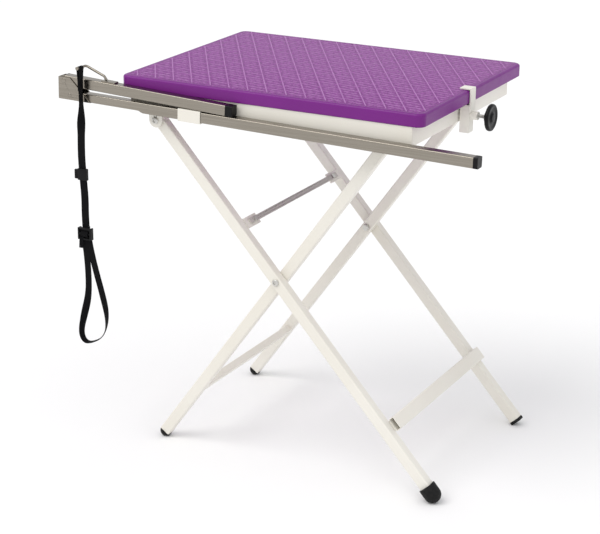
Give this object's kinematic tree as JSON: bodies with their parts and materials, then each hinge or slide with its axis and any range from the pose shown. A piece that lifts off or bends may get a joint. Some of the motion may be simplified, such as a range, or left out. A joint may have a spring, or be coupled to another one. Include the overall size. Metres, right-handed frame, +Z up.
{
  "type": "pet grooming table",
  "caption": "Folding cross-legged grooming table with a textured moulded top, a stowed folding restraint arm with a webbing leash, and an edge clamp.",
  "frame": {"origin": "middle of the footprint box, without the leash, on the floor", "axes": "+X along the long side of the top towards the edge clamp, +Y to the back, away from the stowed arm, +Z up"},
  "size_m": [0.8706, 0.517, 0.7665],
  "materials": {
    "purple_board": "satin moulded",
    "purple_mat": "embossed matte",
    "cream_paint": "powder coated",
    "stainless": "satin",
    "zinc": "bright zinc",
    "black_rubber": "matte",
    "black_plastic": "satin",
    "webbing": "woven nylon",
    "nylon": "natural",
    "dark_steel": "dull"
  },
  "bodies": {
    "table": {"table_top": "purple_board", "non_slip_mat": "purple_mat", "apron_front": "cream_paint", "apron_rear": "cream_paint", "apron_left": "cream_paint", "apron_right": "cream_paint", "cross_member_left": "cream_paint", "cross_member_right": "cream_paint", "pivot_ear_front": "cream_paint", "pivot_ear_rear": "cream_paint", "top_pivot_bolts": "zinc", "top_pivot_nuts": "zinc", "top_pivot_spacers": "nylon", "catch_bracket_front": "cream_paint", "catch_bracket_rear": "cream_paint", "top_screws": "zinc", "post_sleeve": "cream_paint"},
    "outer_legs": {"outer_leg_front": "cream_paint", "outer_leg_rear": "cream_paint", "cross_bolts": "zinc", "cross_washers": "nylon", "cross_nuts": "zinc", "upper_stretcher_tabs": "cream_paint", "upper_stretcher": "dark_steel", "upper_stretcher_screws": "zinc", "lower_stretcher": "cream_paint", "lower_stretcher_tab": "cream_paint", "lower_stretcher_plug": "cream_paint", "foot_outer_front": "black_rubber", "foot_outer_rear": "black_rubber"},
    "inner_legs": {"inner_leg_front": "cream_paint", "inner_leg_rear": "cream_paint", "inner_stretcher": "cream_paint", "catch_studs": "zinc", "foot_inner_front": "black_rubber", "foot_inner_rear": "black_rubber"},
    "post": {"post_tube": "stainless", "post_end_cap": "black_plastic", "hinge_bracket": "stainless", "hinge_pin": "zinc", "bracket_rivets": "zinc"},
    "arm": {"arm_tube": "stainless", "arm_end_cap": "black_plastic", "leash_hook_plate": "stainless", "leash_hook": "stainless"},
    "leash_loop": {"leash_loop": "webbing", "leash_twist": "webbing"},
    "leash": {"leash_strap": "webbing", "leash_slider_upper": "black_plastic", "leash_slider_lower": "black_plastic", "leash_noose": "webbing", "leash_tail": "webbing"},
    "clamp": {"clamp_hook": "cream_paint", "clamp_tube": "cream_paint", "clamp_boss": "cream_paint"},
    "clamp_pad": {"clamp_pad": "zinc"},
    "clamp_knob": {"clamp_screw": "zinc", "clamp_knob": "black_plastic", "knob_cap": "black_plastic"}
  },
  "joints": [
    {"name": "leg_fold", "type": "hinge", "parent": "table", "child": "outer_legs", "pos_m": [-0.23404, 0.0125, 0.66899], "axis": [0, -1, 0], "range_deg": [0, 36]},
    {"name": "brace_fold", "type": "hinge", "parent": "outer_legs", "child": "inner_legs", "pos_m": [0.02239, 0.0125, 0.3841], "axis": [0, -1, 0], "range_deg": [-94.27, 0]},
    {"name": "post_slide", "type": "slide", "parent": "table", "child": "post", "axis": [0.9998, 0, -0.0204], "range_m": [0, 0.05]},
    {"name": "arm_fold", "type": "hinge", "parent": "post", "child": "arm", "pos_m": [-0.42214, -0.227, 0.73009], "axis": [0, -1, 0], "range_deg": [0, 91]},
    {"name": "leash_turn", "type": "hinge", "parent": "arm", "child": "leash_loop", "pos_m": [-0.37781, -0.248, 0.762], "axis": [0, -1, 0], "range_deg": [-91.01, 0]},
    {"name": "leash_swing", "type": "hinge", "parent": "leash_loop", "child": "leash", "pos_m": [-0.37781, -0.248, 0.657], "axis": [-1, 0, 0], "range_deg": [-10, 70]},
    {"name": "clamp_slide", "type": "slide", "parent": "table", "child": "clamp", "axis": [0, 1, 0], "range_m": [-0.12, 0.14]},
    {"name": "clamp_pad_slide", "type": "slide", "parent": "clamp", "child": "clamp_pad", "axis": [1, 0, 0], "range_m": [0, 0.0026]},
    {"name": "knob_turn", "type": "hinge", "parent": "clamp_pad", "child": "clamp_knob", "pos_m": [0.35069, 0.0035, 0.7015], "axis": [1, 0, 0], "range_deg": [0, 720]}
  ],
  "couplings": [
    {"joint": "brace_fold", "follows": "leg_fold", "ratio": -2.6183},
    {"joint": "leash_turn", "follows": "arm_fold", "ratio": -1},
    {"joint": "clamp_pad_slide", "follows": "knob_turn", "m_per_rad": 0.00019894}
  ]
}
